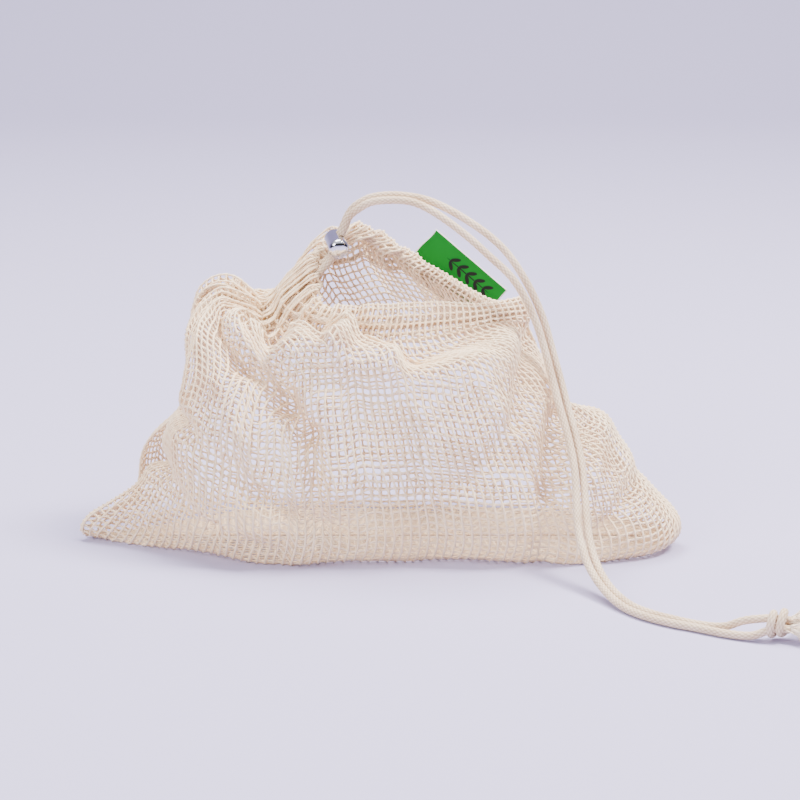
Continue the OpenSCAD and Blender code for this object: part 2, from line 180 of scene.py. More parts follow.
def ease(x):
    """0 below 0, 1 above 1, and 3x^2 - 2x^3 between."""
    x = np.clip(x, 0, 1)
    return x * x * (3 - 2 * x)


def fold_height(points):
    """The sum of the folds at each point. A fold falls off as exp(-(d / half width)^2), with d the
    distance from the line between its ends, as the front sees it."""
    x, z = points[..., 0, None], points[..., 2, None]
    x0, z0, x1, z1, high, wide = FRONT_FOLDS.T
    run_x, run_z = x1 - x0, z1 - z0
    t = np.clip(((x - x0) * run_x + (z - z0) * run_z) / (run_x**2 + run_z**2), 0, 1)
    away = (x - x0 - t * run_x) ** 2 + (z - z0 - t * run_z) ** 2
    return (high * np.exp(-away / wide**2)).sum(-1)


def even_table(start):
    """Column places at even shares of the way round half the bag from start, for a set of heights: the
    length round at each height is summed in short steps and turned about."""
    v = np.linspace(0, RIM, 67)
    u = start + np.linspace(0, HALF_ROUND, 161)
    line = surface(u[None], v[:, None])
    length = np.cumsum(np.linalg.norm(np.diff(line, axis=1), axis=-1), 1)
    length = np.concatenate([np.zeros((len(v), 1)), length], 1) / length[:, -1:]
    share = np.linspace(0, 1, 121)
    return np.array([np.interp(share, row, u) for row in length])


EVEN = (even_table(0), even_table(HALF_ROUND))


# The net is gathered from this many rows up, in this many pleats, and the folds are pressed deeper by a gain
GATHERED_FROM = 6.5
PLEATS = 11.5
FOLD_GAIN = 1.4


def net_round(f, v, front):
    """Columns round the bag for a share f of a panel's width from the left seam. Low down the net lies
    evenly along each height. Towards the rim it is drawn to the left, as f to a power that grows with
    the height."""
    share = f ** (1 + (1.0 if front else 0.7) * ease((v - GATHERED_FROM) / 4.5))
    table = EVEN[0 if front else 1]
    share = share if front else 1 - share
    row = np.clip(v, 0, RIM) / RIM * (len(table) - 1)
    col = np.clip(share, 0, 1) * (table.shape[1] - 1)
    i, j = (np.minimum(x.astype(int), top - 2) for x, top in ((row, len(table)), (col, table.shape[1])))
    a, b = row - i, col - j
    low = table[i, j] * (1 - b) + table[i, j + 1] * b
    return low * (1 - a) + (table[i + 1, j] * (1 - b) + table[i + 1, j + 1] * b) * a


def net_points(f, v, front):
    """Points on the worn net: the bag's surface, with the folds, the pleats of the gathered rim and a
    slow wave of a millimetre added along the outward direction."""
    f, v = np.broadcast_arrays(np.asarray(f, float), np.asarray(v, float))
    u = net_round(f, v, front)
    base, out = surface(u, v), outward(u, v)
    gather = ease((v - GATHERED_FROM) / 4) * (1 - ease((f - 0.5) / 0.3))
    hem = ease((v - 9.6) / 1.2)
    pleats = gather * (3.6 - 1.6 * hem) * np.sin(2 * np.pi * (PLEATS * f + 0.05 * v * (1 - 2 * f)))
    pleats = pleats + gather * 1.4 * np.sin(2 * np.pi * (2 * PLEATS * f + 0.4) + 0.9 * v)
    x, z = base[..., 0], base[..., 2]
    side = 0.0 if front else 1.7
    wave = 0.9 * np.sin(0.11 * x + 0.07 * z + side) + 0.7 * np.sin(0.19 * z - 0.06 * x + 2 * side)
    folds = fold_height(base) if front else 2.2 * np.sin(0.085 * (x + 0.9 * z)) * ease(z / 30)
    free = ease(v / 2.4) * (1 - hem)
    high = pleats + free * (wave + FOLD_GAIN * folds)
    return base + out * high[..., None]


def even_rows(f, low, high, count, front):
    """Row places up each column: the column's length is summed in short steps, and each row stands at its
    share s of it, less a squeeze of s (1 - s) that crowds the rows near the floor and lets the net hang
    slantwise beside the left seam."""
    fine = np.linspace(low, high, 160)
    squeeze = (0.36 * ease((f - 0.2) / 0.25) - 0.14 if front else 0.12 * np.ones(len(f)))[:, None]
    line = net_points(f[:, None], fine[None, :], front)
    length = np.concatenate([np.zeros((len(f), 1)),
                             np.cumsum(np.linalg.norm(np.diff(line, axis=1), axis=-1), 1)], 1)
    share = np.linspace(0, 1, count)[None]
    share = share - squeeze * share * (1 - share)
    return np.array([np.interp(place * run[-1], run, fine) for place, run in zip(share, length)])


def settle(points, thick):
    """Keeps yarn of that thickness on the floor."""
    points[..., 2] = np.maximum(points[..., 2], thick / 2)
    return points


def grid_normals(points, flip):
    """The direction across a grid's two runs, turned outwards."""
    found = unit(np.cross(np.gradient(points, axis=0), np.gradient(points, axis=1)))
    return -found if flip else found


# ---- Meshes -------------------------------------------------------------------------------------
def new_piece(name, points, faces, finish, uv=None):
    """A mesh object from whole arrays: points in metres, and faces as one array for each number of
    corners. uv has a row for each corner of each face, in the same order."""
    mesh = bpy.data.meshes.new(name)
    corners = np.concatenate([f.ravel() for f in faces]).astype(np.int32)
    sizes = np.concatenate([np.full(len(f), f.shape[1]) for f in faces])
    mesh.vertices.add(len(points))
    mesh.vertices.foreach_set("co", np.asarray(points, np.float32).ravel())
    mesh.loops.add(len(corners))
    mesh.loops.foreach_set("vertex_index", corners)
    mesh.polygons.add(len(sizes))
    mesh.polygons.foreach_set("loop_start", (np.cumsum(sizes) - sizes).astype(np.int32))
    mesh.update(calc_edges=True)
    if uv is not None:
        mesh.uv_layers.new(name="Run").data.foreach_set("uv", np.asarray(uv, np.float32).ravel())
    mesh.polygons.foreach_set("use_smooth", np.full(len(sizes), True))
    mesh.validate()
    mesh.materials.append(finish)
    piece = bpy.data.objects.new(name, mesh)
    bpy.context.scene.collection.objects.link(piece)
    return piece


def tube_faces(n, m, s):
    """Quads of n tubes of m rings of s points, and their two end caps."""
    ring = np.arange(n * m * s).reshape(n, m, s)
    turned = np.roll(ring, -1, axis=2)
    walls = np.stack([ring[:, :-1], turned[:, :-1], turned[:, 1:], ring[:, 1:]], -1).reshape(-1, 4)
    caps = np.concatenate([ring[:, 0, ::-1], ring[:, -1]])
    return walls, caps


def tube_uv(n, m, s, lengths):
    """Corners' (share of the turn, length along in millimetres) for the quads and caps of tube_faces."""
    k = np.arange(s)
    turn = np.stack([k, k + 1, k + 1, k], -1) / s
    turn = np.broadcast_to(turn, (n, m - 1, s, 4))
    low, high = lengths[:, :-1, None], lengths[:, 1:, None]
    along = np.stack([low, low, high, high], -1) * np.ones((1, 1, s, 1))
    walls = np.stack([turn, along], -1).reshape(-1, 2)
    return np.concatenate([walls, np.zeros((2 * n * s, 2))])


def tubes(name, paths, side, radius, finish, sides=5):
    """Tubes along n paths at once. Each ring is the path's point plus radius times (cos a * across +
    sin a * beside), where beside is the path's direction crossed with the outward side, and across
    completes them. radius may vary along each path and round it."""
    n, m = paths.shape[:2]
    run = unit(np.gradient(paths, axis=1))
    beside = unit(np.cross(run, side))
    across = np.cross(beside, run)
    a = 2 * np.pi * np.arange(sides) / sides
    spokes = across[:, :, None] * np.cos(a)[:, None] + beside[:, :, None] * np.sin(a)[:, None]
    radius = np.broadcast_to(radius, (n, m, sides))
    rings = paths[:, :, None] + radius[..., None] * spokes
    steps = np.linalg.norm(np.diff(paths, axis=1), axis=-1)
    lengths = np.concatenate([np.zeros((n, 1)), np.cumsum(steps, 1)], 1)
    walls, caps = tube_faces(n, m, sides)
    return new_piece(name, rings.reshape(-1, 3) * MM, [walls, caps], finish,
                     tube_uv(n, m, sides, lengths))


def refine(points, factor):
    """Smooth curves through the points of each path, with factor steps between each two."""
    count = points.shape[1]
    weights = spline_weights(np.linspace(0, count - 1, factor * (count - 1) + 1), count, False)
    return np.einsum("ma,nak->nmk", weights, points)


def joined(name, parts):
    """One object made of several, in the first one's place."""
    with bpy.context.temp_override(active_object=parts[0], selected_editable_objects=parts,
                                   object=parts[0], selected_objects=parts):
        bpy.ops.object.join()
    parts[0].name = name
    return parts[0]


def net_yarns(name, points, flip, yarn, finish):
    """A net of two sets of yarn over a grid of crossings. Each yarn swells at the crossings, as its
    radius times (0.92 + 0.2 cos of the turn between crossings), and the two sets lie a little apart."""
    normals = grid_normals(points, flip)
    rng = np.random.default_rng(len(name) * 7)
    nudge = rng.normal(0, 0.09, points.shape)
    nudge[:, 0] = nudge[:, -1] = nudge[0] = nudge[-1] = 0
    points = points + nudge
    made = []
    for part, axis, lift in (("warp", 0, 0.16), ("weft", 1, -0.16)):
        line = points if axis == 0 else points.swapaxes(0, 1)
        side = normals if axis == 0 else normals.swapaxes(0, 1)
        fine, out = refine(line, 2), unit(refine(side, 2))
        swell = 0.92 + 0.2 * np.cos(np.pi * np.arange(fine.shape[1]))
        uneven = rng.uniform(0.92, 1.1, (fine.shape[0], 1))
        radius = (yarn / 2 * swell * uneven)[..., None]
        fine = settle(fine + out * lift * yarn, yarn * 1.1)
        made.append(tubes(name + "_" + part, fine, out, radius, finish, 5))
    return joined(name, made)


# ---- Finishes -----------------------------------------------------------------------------------
class Number:
    """A number in a material's tree. Sums and products of it add Math nodes."""

    def __init__(self, finish, socket):
        self.finish = finish
        self.socket = socket

    def maths(self, operation, *values):
        node = self.finish.node("ShaderNodeMath", {"operation": operation}, dict(enumerate(values)))
        return Number(self.finish, node.outputs[0])

    def __add__(self, other):
        return self.maths("ADD", self, other)

    def __sub__(self, other):
        return self.maths("SUBTRACT", self, other)

    def __rsub__(self, other):
        return self.maths("SUBTRACT", other, self)

    def __mul__(self, other):
        return self.maths("MULTIPLY", self, other)

    def __truediv__(self, other):
        return self.maths("DIVIDE", self, other)

    def __abs__(self):
        return self.maths("ABSOLUTE", self)

    def sine(self):
        return self.maths("SINE", self)

    def over(self, other):
        return self.maths("GREATER_THAN", self, other)

    def either(self, other):
        return self.maths("MAXIMUM", self, other)

    def clamped(self):
        return self.maths("MINIMUM", self.maths("MAXIMUM", self, 0.0), 1.0)


class Finish:
    """A material's tree, round one Principled surface. node() makes any other node."""

    def __init__(self, name, roughness, **constants):
        self.material = bpy.data.materials.new(name)
        self.material.use_nodes = True
        self.tree = self.material.node_tree
        self.tree.nodes.clear()
        self.surface = self.node("ShaderNodeBsdfPrincipled", {}, {"Roughness": roughness, **constants})
        self.node("ShaderNodeOutputMaterial", {}, {"Surface": self.surface.outputs[0]})

    def node(self, kind, settings=None, inputs=None):
        made = self.tree.nodes.new(kind)
        for key, value in (settings or {}).items():
            setattr(made, key, value)
        for key, value in (inputs or {}).items():
            source = getattr(value, "socket", value)
            if isinstance(source, bpy.types.NodeSocket):
                self.tree.links.new(source, made.inputs[key])
            else:
                made.inputs[key].default_value = source
        return made

    def split(self, output):
        """The X, Y and Z of a Texture Coordinate output, as Numbers."""
        place = self.node("ShaderNodeTexCoord").outputs[output]
        apart = self.node("ShaderNodeSeparateXYZ", {}, {0: place})
        return [Number(self, socket) for socket in apart.outputs]

    def noise(self, scale, detail=2.0, output="Object"):
        place = self.node("ShaderNodeTexCoord").outputs[output]
        made = self.node("ShaderNodeTexNoise", {}, {"Vector": place, "Scale": scale, "Detail": detail})
        return Number(self, made.outputs[0])

    def mix(self, share, first, second):
        """A colour between two, by share."""
        settings = {"data_type": "RGBA"}
        made = self.node("ShaderNodeMix", settings, {0: share, 6: first, 7: second})
        return made.outputs[2]

    def set(self, **links):
        for key, value in links.items():
            socket = self.surface.inputs[key.replace("_", " ")]
            self.tree.links.new(getattr(value, "socket", value), socket)

    def bump(self, height, distance, strength=1.0):
        inputs = {"Height": height, "Distance": distance, "Strength": strength}
        made = self.node("ShaderNodeBump", {}, inputs)
        self.set(Normal=made.outputs[0])


def rgb(colour):
    return (*colour[:3], 1.0)


def cotton_finish(name, light, dark, twist, depth):
    """Spun cotton: two tones mixed by slow and fine noise, and a twist that runs round each yarn as the
    sine of the turn plus the length over the twist's pitch. The twist is the bump's height, and its grooves
    are painted in the dark tone as shade."""
    finish = Finish(name, 0.88, **{"Sheen Weight": 0.12, "Sheen Roughness": 0.5, "Specular IOR Level": 0.15})
    turn, along, _ = finish.split("UV")
    tone = finish.noise(55.0) * 1.1 + finish.noise(900.0, 1.0) * 0.5 - 0.35
    ply = (turn * 6.2832 + along * (6.2832 / twist)).sine() * 0.5 + 0.5
    # Painted shade: (1 - ply) turns the twist's grooves towards the dark tone, on top of the random tone from
    # the noise.
    shade = (tone.clamped() * 0.75 + (1 - ply) * 0.25).clamped()
    finish.set(Base_Color=finish.mix(shade, rgb(light), rgb(dark)))
    finish.set(Roughness=finish.noise(300.0) * 0.15 + 0.8)
    finish.bump(ply + finish.noise(2600.0, 2.0) * 0.8, depth)
    return finish.material


def braid_finish(look):
    """Braided cord: the relief is in the mesh, so the tree adds fibre, a slight random change of tone and
    painted shade that darkens the grooves between the ribs where the relief is low.
    """
    finish = Finish("braided cotton", 0.85, **{"Sheen Weight": 0.12, "Sheen Roughness": 0.5,
                                               "Specular IOR Level": 0.25})
    deep = Number(finish, finish.node("ShaderNodeAttribute", {"attribute_name": "relief"}).outputs["Fac"])
    # Painted shade: (1 - deep) turns the braid's grooves towards the dark tone, and the noise adds random
    # tone.
    tone = (finish.noise(90.0) * 0.7 + (1 - deep) * 1.15 - 0.2).clamped()
    finish.set(Base_Color=finish.mix(tone, rgb(look.cord_light), rgb(look.cord_dark_and_groove_shade)))
    finish.set(Roughness=finish.noise(500.0) * 0.15 + 0.78)
    finish.bump(finish.noise(3200.0, 3.0), 0.00018)
    return finish.material


DOME = 0.0073  # radius of the dome that the lock's ends shade as, in metres


def chrome_finish(name, tint, rough):
    """Polished plate with faint wiping marks: the roughness varies with a noise. The flat ends shade as
    shallow domes: the height falls from the lock's axis as r squared / (2 DOME)."""
    finish = Finish(name, rough, **{"Metallic": 1.0, "Base Color": rgb(tint)})
    marks = finish.noise(420.0, 4.0)
    finish.set(Roughness=marks * 0.12 + (rough - 0.05))
    away = [place - middle * MM for place, middle in zip(finish.split("Object"), LOCK_AT)]
    axis = [float(part) for part in lock_matrix()[:, 1]]
    along = away[0] * axis[0] + away[1] * axis[1] + away[2] * axis[2]
    off = away[0] * away[0] + away[1] * away[1] + away[2] * away[2] - along * along
    finish.bump(off * (-0.5 / DOME) + finish.noise(1500.0, 2.0) * 0.000003, 1.0)
    return finish.material


def leaf(x, y, middle, turn, size):
    """1 inside a leaf: an ellipse of half sizes size round middle, turned by turn degrees."""
    c, s = np.cos(np.radians(turn)), np.sin(np.radians(turn))
    dx, dy = x - middle[0], y - middle[1]
    along = (dx * c + dy * s) / size[0]
    across = (dy * c - dx * s) / size[1]
    return 1 - (along * along + across * across).over(1.0)


def label_finish(look, size):
    """Woven satin: green ground, a pale selvedge round the edge, a black leaf sprig, and a fine weave of
    crossed sines, all on the label's own millimetres."""
    finish = Finish("woven label", 0.62, **{"Sheen Weight": 0.0, "Specular IOR Level": 0.12})
    u, v, _ = finish.split("UV")
    x, y = u * size[0], v * size[1]
    inset = 0.45
    ends = abs(x - size[0] / 2).over(size[0] / 2 - inset)
    edge = ends.either(abs(y - size[1] / 2).over(size[1] / 2 - inset))
    stem = [0.58 * size[0], 0.71 * size[1]]
    ink = leaf(x, y, stem, 0, (11.5, 0.28))
    for k in range(5):
        at = stem[0] - 9 + 4.4 * k
        for way in (1, -1):
            ink = ink.either(leaf(x, y, (at + 1.1, stem[1] + way * 1.55), way * 38, (2.1, 0.8)))
    weave = (x * 21.0).sine() * (y * 21.0).sine() * 0.5 + 0.5
    tone = (finish.noise(160.0) * 0.5 + weave * 0.3).clamped()
    green = finish.mix(tone, rgb(look.label_green), rgb([0.75 * c for c in look.label_green[:3]]))
    printed = finish.mix(ink, green, (0.012, 0.012, 0.012, 1))
    finish.set(Base_Color=finish.mix(edge, printed, (0.82, 0.83, 0.80, 1)))
    finish.bump(weave, 0.00004)
    return finish.material


# ---- Sizes and colours that a user would change ---------------------------------------------------
class BagSizes(bpy.types.PropertyGroup):
    yarn: bpy.props.FloatProperty(
        name="Yarn", description="Thickness of the net's yarn", default=0.00104, min=0.0005, max=0.002,
        precision=5, unit="LENGTH")
    columns: bpy.props.IntProperty(
        name="Columns", description="Meshes of net across one panel", default=76, min=30, max=120)
    rows: bpy.props.IntProperty(
        name="Rows", description="Meshes of net from the floor seam to the hem", default=54, min=30, max=100)
    cord: bpy.props.FloatProperty(
        name="Cord", description="Diameter of the braided cord", default=0.003, min=0.002, max=0.005,
        precision=5, unit="LENGTH")
    braid: bpy.props.FloatProperty(
        name="Braid", description="Length of one stitch of the braid", default=0.0012, min=0.0008, max=0.004,
        precision=5, unit="LENGTH")


class BagColours(bpy.types.PropertyGroup):
    net_light: bpy.props.FloatVectorProperty(
        name="Net, light", description="Light tone of the net's cotton", default=(1.0, 0.84, 0.63),
        subtype="COLOR", min=0, max=1)
    # The net's dark tone is also painted shade: the grooves of the yarn's twist are coloured with it.
    net_dark_and_groove_shade: bpy.props.FloatVectorProperty(
        name="Net, dark", description="Dark tone of the net's cotton", default=(0.86, 0.61, 0.37),
        subtype="COLOR", min=0, max=1)
    cord_light: bpy.props.FloatVectorProperty(
        name="Cord, light", description="Light tone of the braided cord", default=(0.94, 0.78, 0.60),
        subtype="COLOR", min=0, max=1)
    # The cord's dark tone is also painted shade: the grooves between the braid's ribs are coloured with it.
    cord_dark_and_groove_shade: bpy.props.FloatVectorProperty(
        name="Cord, dark", description="Dark tone of the braided cord", default=(0.50, 0.34, 0.21),
        subtype="COLOR", min=0, max=1)
    label_green: bpy.props.FloatVectorProperty(
        name="Label", description="Ground colour of the woven label", default=(0.002, 0.195, 0.017),
        subtype="COLOR", min=0, max=1)
    chrome: bpy.props.FloatVectorProperty(
        name="Chrome", description="Colour of the plated lock", default=(0.68, 0.69, 0.72),
        subtype="COLOR", min=0, max=1)


def sizes():
    return bpy.context.scene.bag_sizes


def colours():
    return bpy.context.scene.bag_colours


def finish_of(name, make):
    """The material of that name, made the first time that it is asked for."""
    return bpy.data.materials.get(name) or make()


def net_finish():
    look = colours()
    return finish_of("net cotton", lambda: cotton_finish(
        "net cotton", look.net_light, look.net_dark_and_groove_shade, 2.4, 0.00012))


def thread_finish():
    # The second colour is the thread's darker tone and also the painted shade in the grooves of its twist.
    return finish_of("cotton thread", lambda: cotton_finish(
        "cotton thread", (1.0, 0.88, 0.74), (0.88, 0.72, 0.55), 0.9, 0.00006))


def cord_finish():
    return finish_of("braided cotton", lambda: braid_finish(colours()))


# ---- Cords ----------------------------------------------------------------------------------------
LOCK_AT = np.array([-17, 14, 118])
LOCK_TURN = np.radians([10, 22, 13])
LOCK_FACE = 4.5
# Points that the two strands follow from the lock to the knot, in millimetres
ROUTE_A = [[-8.5, 9.6, 132.3], [-3, 7.5, 135.6], [5, 4.3, 137], [13, 0, 137], [20, -3, 134.5],
           [28, -5, 129.5], [36, -7, 123.5], [44, -9, 116.5], [52, -10, 109], [58, -11.5, 100],
           [62, -13.5, 91], [65, -16, 82], [68, -21, 71], [71, -28, 60], [74, -36, 50], [76, -45, 40],
           [76.5, -54, 29], [77, -64, 19], [80, -76, 10], [85, -90, 4.5], [91, -104, 2.1],
           [98, -115, 1.7], [107, -124, 1.7], [117, -131, 1.7], [127, -138, 1.7], [135, -142, 2.2],
           [140, -143, 4]]
ROUTE_B = [[-9, 13, 133.6], [-3, 10.9, 137], [5, 7.6, 138.5], [13, 3.6, 138.5], [20, 0.8, 137.3],
           [28, -1.4, 134], [36, -3.4, 129.5], [44, -5.4, 124], [50.8, -6.9, 117.5],
           [56.6, -8.3, 109.2], [61.6, -9.5, 100], [65.6, -11.4, 90], [68.5, -14, 80],
           [71.5, -18.5, 69.5], [74.5, -25.5, 58.5], [77.3, -34, 48.5], [79.2, -43.4, 38.7],
           [80, -52.7, 28.7], [80.7, -62.7, 18.7], [83, -73.3, 10.5], [87.3, -87.3, 5],
           [93.5, -101, 2.2], [100.7, -112, 1.8], [109.3, -120.4, 1.8], [118.5, -127.3, 1.8],
           [126.5, -132.3, 2.8], [133, -136.5, 6.2], [140, -139, 7.8]]
KNOT_AT = np.array([146, -141, 6.7])


def lock_matrix():
    """The lock's turn: about X, then Y, then Z."""
    (cx, cy, cz), (sx, sy, sz) = np.cos(LOCK_TURN), np.sin(LOCK_TURN)
    about_x = np.array([[1, 0, 0], [0, cx, -sx], [0, sx, cx]])
    about_y = np.array([[cy, 0, sy], [0, 1, 0], [-sy, 0, cy]])
    about_z = np.array([[cz, -sz, 0], [sz, cz, 0], [0, 0, 1]])
    return about_z @ about_y @ about_x


def strand_at(side, heights):
    """A strand's points where it crosses the lock, beside the other one, in millimetres."""
    half = sizes().cord / MM / 2
    return LOCK_AT + np.array([[0, side * half, z] for z in heights]) @ lock_matrix().T


def even_path(points, step):
    """The smooth curve through the points, at even steps of its length."""
    fine = refine(np.asarray(points, float)[None], 24)[0]
    run = np.concatenate([[0], np.cumsum(np.linalg.norm(np.diff(fine, axis=0), axis=1))])
    places = np.linspace(0, run[-1], int(run[-1] / step) + 1)
    return np.stack([np.interp(places, run, fine[:, k]) for k in range(3)], 1), run[-1]


def steady_sides(path):
    """A side direction that turns with the path and doesn't twist: it starts square to the path and nearly
    so to Y, and is carried on by taking out each step's own direction."""
    run = unit(np.gradient(path, axis=0))
    side = np.empty_like(path)
    now = unit(np.cross(run[0], [0.0, 1.0, 0.1]))
    for k, along in enumerate(run):
        now = unit(now - along * (now @ along))
        side[k] = now
    return side


def braid(name, points, finish, pairs=7, sides=42, step=0.26):
    """A braided cord along a path. Two sets of ribs wind round it, one each way, as (pairs * turn +- the
    length over the stitch). On a chequer of their crossings one set lies on top, and a rib's relief is
    the sine across it."""
    path, length = even_path(points, step)
    stitch = sizes().braid / MM
    turn = np.arange(sides) / sides
    along = np.arange(len(path))[:, None] * (length / (len(path) - 1)) / (2 * stitch)
    right, left = pairs * turn[None] + along, pairs * turn[None] - along
    top = (np.floor(right) + np.floor(left)) % 2 == 0
    across = np.where(top, left % 1, right % 1)
    run = np.where(top, right % 1, left % 1)
    relief = np.sqrt(np.sin(np.pi * across)) * (0.55 + 0.45 * np.sin(np.pi * run))
    radius = sizes().cord / MM / 2 * (0.87 + 0.17 * relief)
    piece = tubes(name, path[None], steady_sides(path)[None], radius[None], finish, sides)
    # The relief is kept on the points, where the finish turns the grooves darker as painted shade.
    tone = piece.data.attributes.new("relief", "FLOAT", "POINT")
    tone.data.foreach_set("value", relief.ravel().astype(np.float32))
    return piece, path, length


def knot_wraps():
    """The overhand knot: a cord wound twice round the two strands, with both ends tucked inside. Its path
    is a helix whose radius falls to the middle at its ends."""
    t = np.linspace(0, 1, 60)
    turn = 2 * np.pi * (2.15 * t + 0.05)
    tuck = ease(np.minimum(t, 1 - t) / 0.14)
    radius = 0.6 + 2.9 * tuck + 0.25 * np.sin(5.0 * t)
    lean = 1.3 * np.sin(turn + 0.5)
    path = np.stack([-4.3 + 7.6 * t + lean * tuck, radius * np.cos(turn) * 1.05,
                     radius * np.sin(turn) * 1.12], 1)
    c, s = np.cos(np.radians(-14)), np.sin(np.radians(-14))
    return path @ np.array([[c, s, 0], [-s, c, 0], [0, 0, 1]]) + KNOT_AT


def frayed(name, start, heading, count, seed):
    """Loose yarn beyond the knot: each strand leaves at start, leans away from heading by a random angle
    and sags, as start + heading * t + lean * t^1.6 - droop * t^2, with a slow wave along it."""
    rng = np.random.default_rng(seed)
    t = np.linspace(0, 1, 10)[None, :, None]
    long = rng.uniform(9, 16, (count, 1, 1))
    way = unit(np.asarray(heading, float))
    lean = rng.normal(0, 1, (count, 1, 3)) * [0.15, 0.5, 0.42]
    wave = rng.normal(0, 0.5, (count, 1, 3)) * np.sin(rng.uniform(3, 8, (count, 1, 1)) * t)
    root = np.asarray(start) + rng.normal(0, 0.55, (count, 1, 3))
    paths = root + long * (way * t + lean * t**1.6) + wave * t + np.array([0, 0, -2.2]) * t**2
    paths = settle(paths, 0.5)
    side = np.broadcast_to([0.1, 0.2, 1.0], paths.shape)
    radius = rng.uniform(0.17, 0.28, (count, 1, 1)) * (1 - 0.5 * t)
    return tubes(name, paths, side, radius, thread_finish(), 4)


class LAUNDRYBAG_OT_cords(bpy.types.Operator):
    """Make the two free strands, the stretch in the hem, the knot and the frayed ends"""

    bl_idname = "laundrybag.cords"
    bl_label = "Make cords"

    def execute(self, context):
        finish = cord_finish()
        wrap, _, _ = braid("knot_wraps", knot_wraps(), finish)
        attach(wrap, "bag")
        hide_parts("knot")
        frays = [
            frayed("frayed_yarn_a", KNOT_AT + [2.6, -2.2, -1.4], [1, -0.45, -0.1], 80, 3),
            frayed("frayed_yarn_b", KNOT_AT + [2.8, 0.5, 0.8], [1, 0.15, 0.05], 80, 4)]
        for fray, node in zip(frays, ("frayed_end_a", "frayed_end_b")):
            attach(fray, "bag")
            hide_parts(node)
        ends = {-1: [[144, -142.6, 5.2], [149, -143.6, 5]], 1: [[144, -139.8, 8], [150, -140.4, 7.4]]}
        for side, route, name in ((-1, ROUTE_A, "cord_strand_a"), (1, ROUTE_B, "cord_strand_b")):
            start = strand_at(side, (LOCK_FACE, 8.5, 12.5))
            strand, path, length = braid(name + "_braid", np.concatenate([start, route, ends[side]]), finish)
            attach(strand, "bag")
            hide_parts(name)
        u = np.linspace(1, 15, 29)
        hem = surface(u, np.full(29, HEM_MID)) - 0.8 * outward(u, np.full(29, HEM_MID))
        held = (-8, -LOCK_FACE, 0, LOCK_FACE - 0.3)
        loop, _, _ = braid("hem_cord", np.concatenate(
            [strand_at(-1, held[::-1]), hem, strand_at(1, held)]), finish)
        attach(loop, "bag")
        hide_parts("drawcord_loop")
        return {"FINISHED"}


# ---- Net, hem and seams ---------------------------------------------------------------------------
def yarn_places():
    """Shares of a panel's width at which its upright yarns run, just inside the side seams."""
    return np.linspace(0.004, 0.996, sizes().columns + 1)


def panel_grid(front):
    """Crossings of one panel's net: columns evenly spaced across it and rows evenly spaced up it."""
    f = yarn_places()
    v = even_rows(f, 0.04, HEM_LOW, sizes().rows + 1, front)
    return net_points(f[:, None], v, front)


FAR_HEM = 0.8  # rows by which the far hem is folded deeper


def hem_grid(front):
    """Crossings of the folded hem: up the outer face, over the rim and down the inner face. Its two faces
    stand apart by the cord between them, as a rounded profile. The far one is folded deeper."""
    rise = np.linspace(HEM_LOW if front else HEM_LOW - FAR_HEM, RIM - 0.06, 5 if front else 6)
    v = np.concatenate([rise, [RIM], rise[::-1]])
    bulge = 1.4 * np.exp(-(((rise - HEM_MID) / 0.35) ** 2))
    off = np.concatenate([0.1 + bulge, [-0.8], (-1.7 - bulge)[::-1]])
    f = yarn_places()
    f, v = np.broadcast_arrays(f[f > 0.05, None], v[None])
    points = net_points(f, v, front)
    u = net_round(f, v, front)
    up = unit(surface(u, np.full_like(u, RIM)) - surface(u, np.full_like(u, HEM_LOW)))
    return points + outward(u, v) * off[None, :, None] + up * (v == RIM)[..., None] * 0.8


class LAUNDRYBAG_OT_net(bpy.types.Operator):
    """Knit the two panels and the folded hem"""

    bl_idname = "laundrybag.net"
    bl_label = "Make net"

    def execute(self, context):
        yarn = sizes().yarn / MM
        for front, panel, hem in ((True, "front_panel", "hem_front"), (False, "back_panel", "hem_back")):
            grid = panel_grid(front)
            net = net_yarns(panel + "_net", grid, not front, yarn, net_finish())
            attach(net, "bag")
            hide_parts(panel)
            fold = net_yarns(hem + "_net", hem_grid(front), not front, yarn, net_finish())
            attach(fold, "bag")
            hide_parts(hem)
        return {"FINISHED"}


def stitches(name, line, side, long, thick, count, finish):
    """Short stitches along a line: each is an arc over the cloth, side * sin(pi t) high."""
    run = np.concatenate([[0], np.cumsum(np.linalg.norm(np.diff(line, axis=0), axis=1))])
    middle = (np.arange(count) + 0.5) * run[-1] / count
    t = np.linspace(0, 1, 6)
    places = middle[:, None] + (t[None] - 0.5) * long
    along = np.stack([np.interp(places, run, line[:, k]) for k in range(3)], -1)
    out = unit(np.stack([np.interp(places, run, side[:, k]) for k in range(3)], -1))
    paths = along + out * (0.35 * np.sin(np.pi * t))[None, :, None]
    return tubes(name, paths, out, thick / 2, finish, 5)


def overlock(name, line, finish):
    """A sewn edge: a soft core along the line and a thread wound round it, as a helix of 2 mm pitch."""
    path, length = even_path(line, 0.8)
    sides = steady_sides(path)
    core = tubes(name + "_core", path[None], sides[None], 0.6, finish, 8)
    fine, length = even_path(line, 0.3)
    frame_a = steady_sides(fine)
    frame_b = np.cross(unit(np.gradient(fine, axis=0)), frame_a)
    turn = 2 * np.pi * np.linspace(0, length / 2.0, len(fine))[:, None]
    wound = settle(fine + 0.75 * (np.cos(turn) * frame_a + np.sin(turn) * frame_b), 0.6)
    thread = tubes(name + "_thread", wound[None], steady_sides(wound)[None], 0.3, finish, 5)
    return joined(name, [core, thread])


